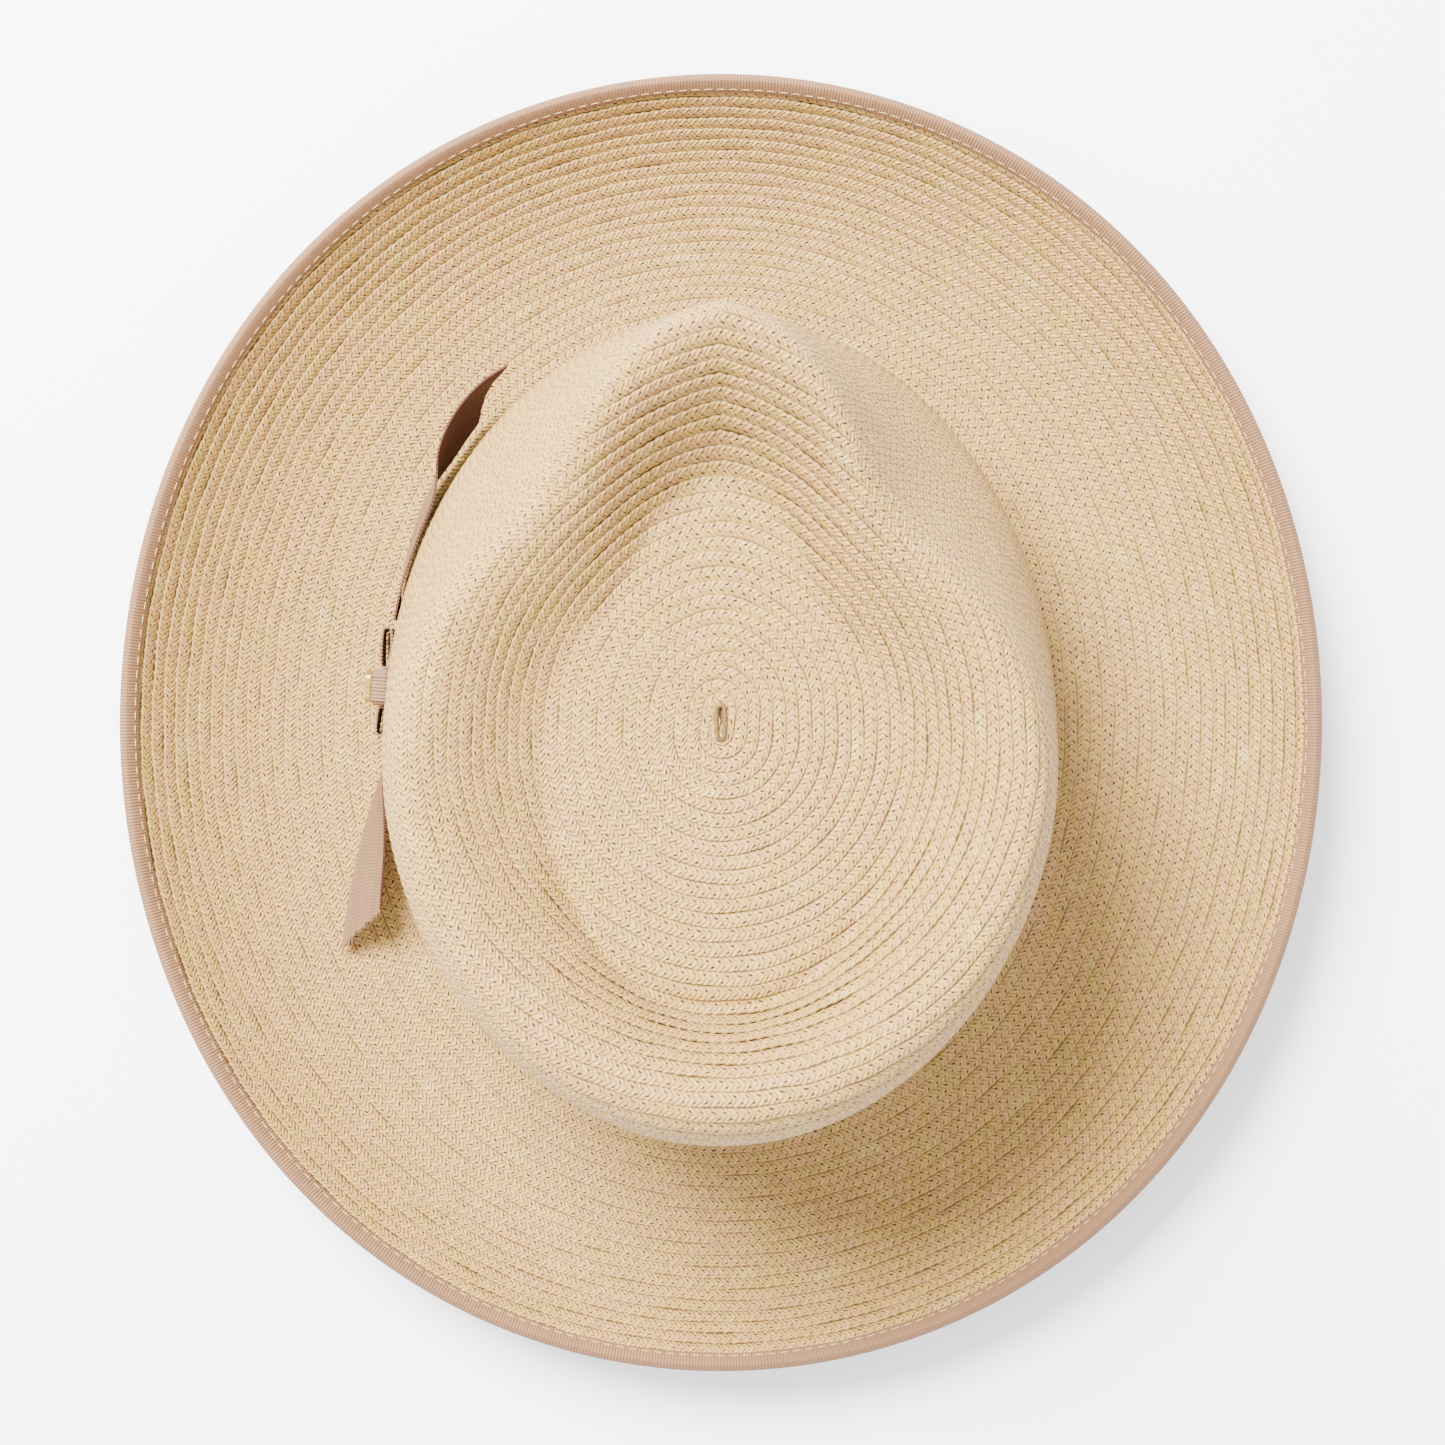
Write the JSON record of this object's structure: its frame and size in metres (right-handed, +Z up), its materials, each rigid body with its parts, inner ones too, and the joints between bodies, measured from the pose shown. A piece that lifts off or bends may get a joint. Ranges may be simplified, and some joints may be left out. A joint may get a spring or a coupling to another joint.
{
  "type": "fedora hat",
  "caption": "Sewn straw-braid fedora with a pinched teardrop crown, curled ribbon-bound brim, ribbon band with side bow and jewelled pin, and a sweatband inside.",
  "frame": {"origin": "middle of the box at the level that the hat rests on: the flat ring of the brim's underside round the head opening", "axes": "+Z up, -Y the front of the hat (pinched end), +X the wearer's left (bow side)"},
  "size_m": [0.3058, 0.3308, 0.1108],
  "materials": {
    "straw": "sewn straw braid",
    "grosgrain": "ribbed ribbon",
    "brass": "satin",
    "stone": "cut glass",
    "steel": "drawn wire",
    "sweat_leather": "soft leather",
    "reed_plastic": "smooth",
    "thread": "cotton thread",
    "woven_label": "satin weave"
  },
  "bodies": {
    "hat": {"crown": "straw", "braid_start": "straw", "brim": "straw", "brim_binding": "grosgrain", "brim_wire": "steel", "wire_joiner": "brass", "hatband": "grosgrain", "band_stitches": "thread", "bow_underlay": "grosgrain", "bow_knot": "grosgrain", "bow_loop_front": "grosgrain", "bow_loop_rear": "grosgrain", "bow_stitches": "thread", "jewel_setting": "brass", "jewel_stones": "stone", "sweatband": "sweat_leather", "sweatband_reed": "reed_plastic", "sweatband_tape": "grosgrain", "sweatband_bow": "grosgrain", "maker_label": "woven_label", "label_stitches": "thread", "head_seam_stitches": "thread"},
    "front_tail": {"front_tail": "grosgrain"},
    "rear_tail": {"rear_tail": "grosgrain"},
    "size_tag": {"size_tag": "woven_label"}
  },
  "joints": [
    {"name": "front_tail_swing", "type": "hinge", "parent": "hat", "child": "front_tail", "pos_m": [0.08438, -0.02657, 0.01815], "axis": [-0.342, 0, 0.9397], "range_deg": [0, 40]},
    {"name": "rear_tail_swing", "type": "hinge", "parent": "hat", "child": "rear_tail", "pos_m": [0.08709, 0.00535, 0.01815], "axis": [0.342, 0, -0.9397], "range_deg": [0, 35]},
    {"name": "size_tag_flap", "type": "hinge", "parent": "hat", "child": "size_tag", "pos_m": [-0.07975, 0, 0.03117], "axis": [0, -1, 0], "range_deg": [0, 110]}
  ]
}
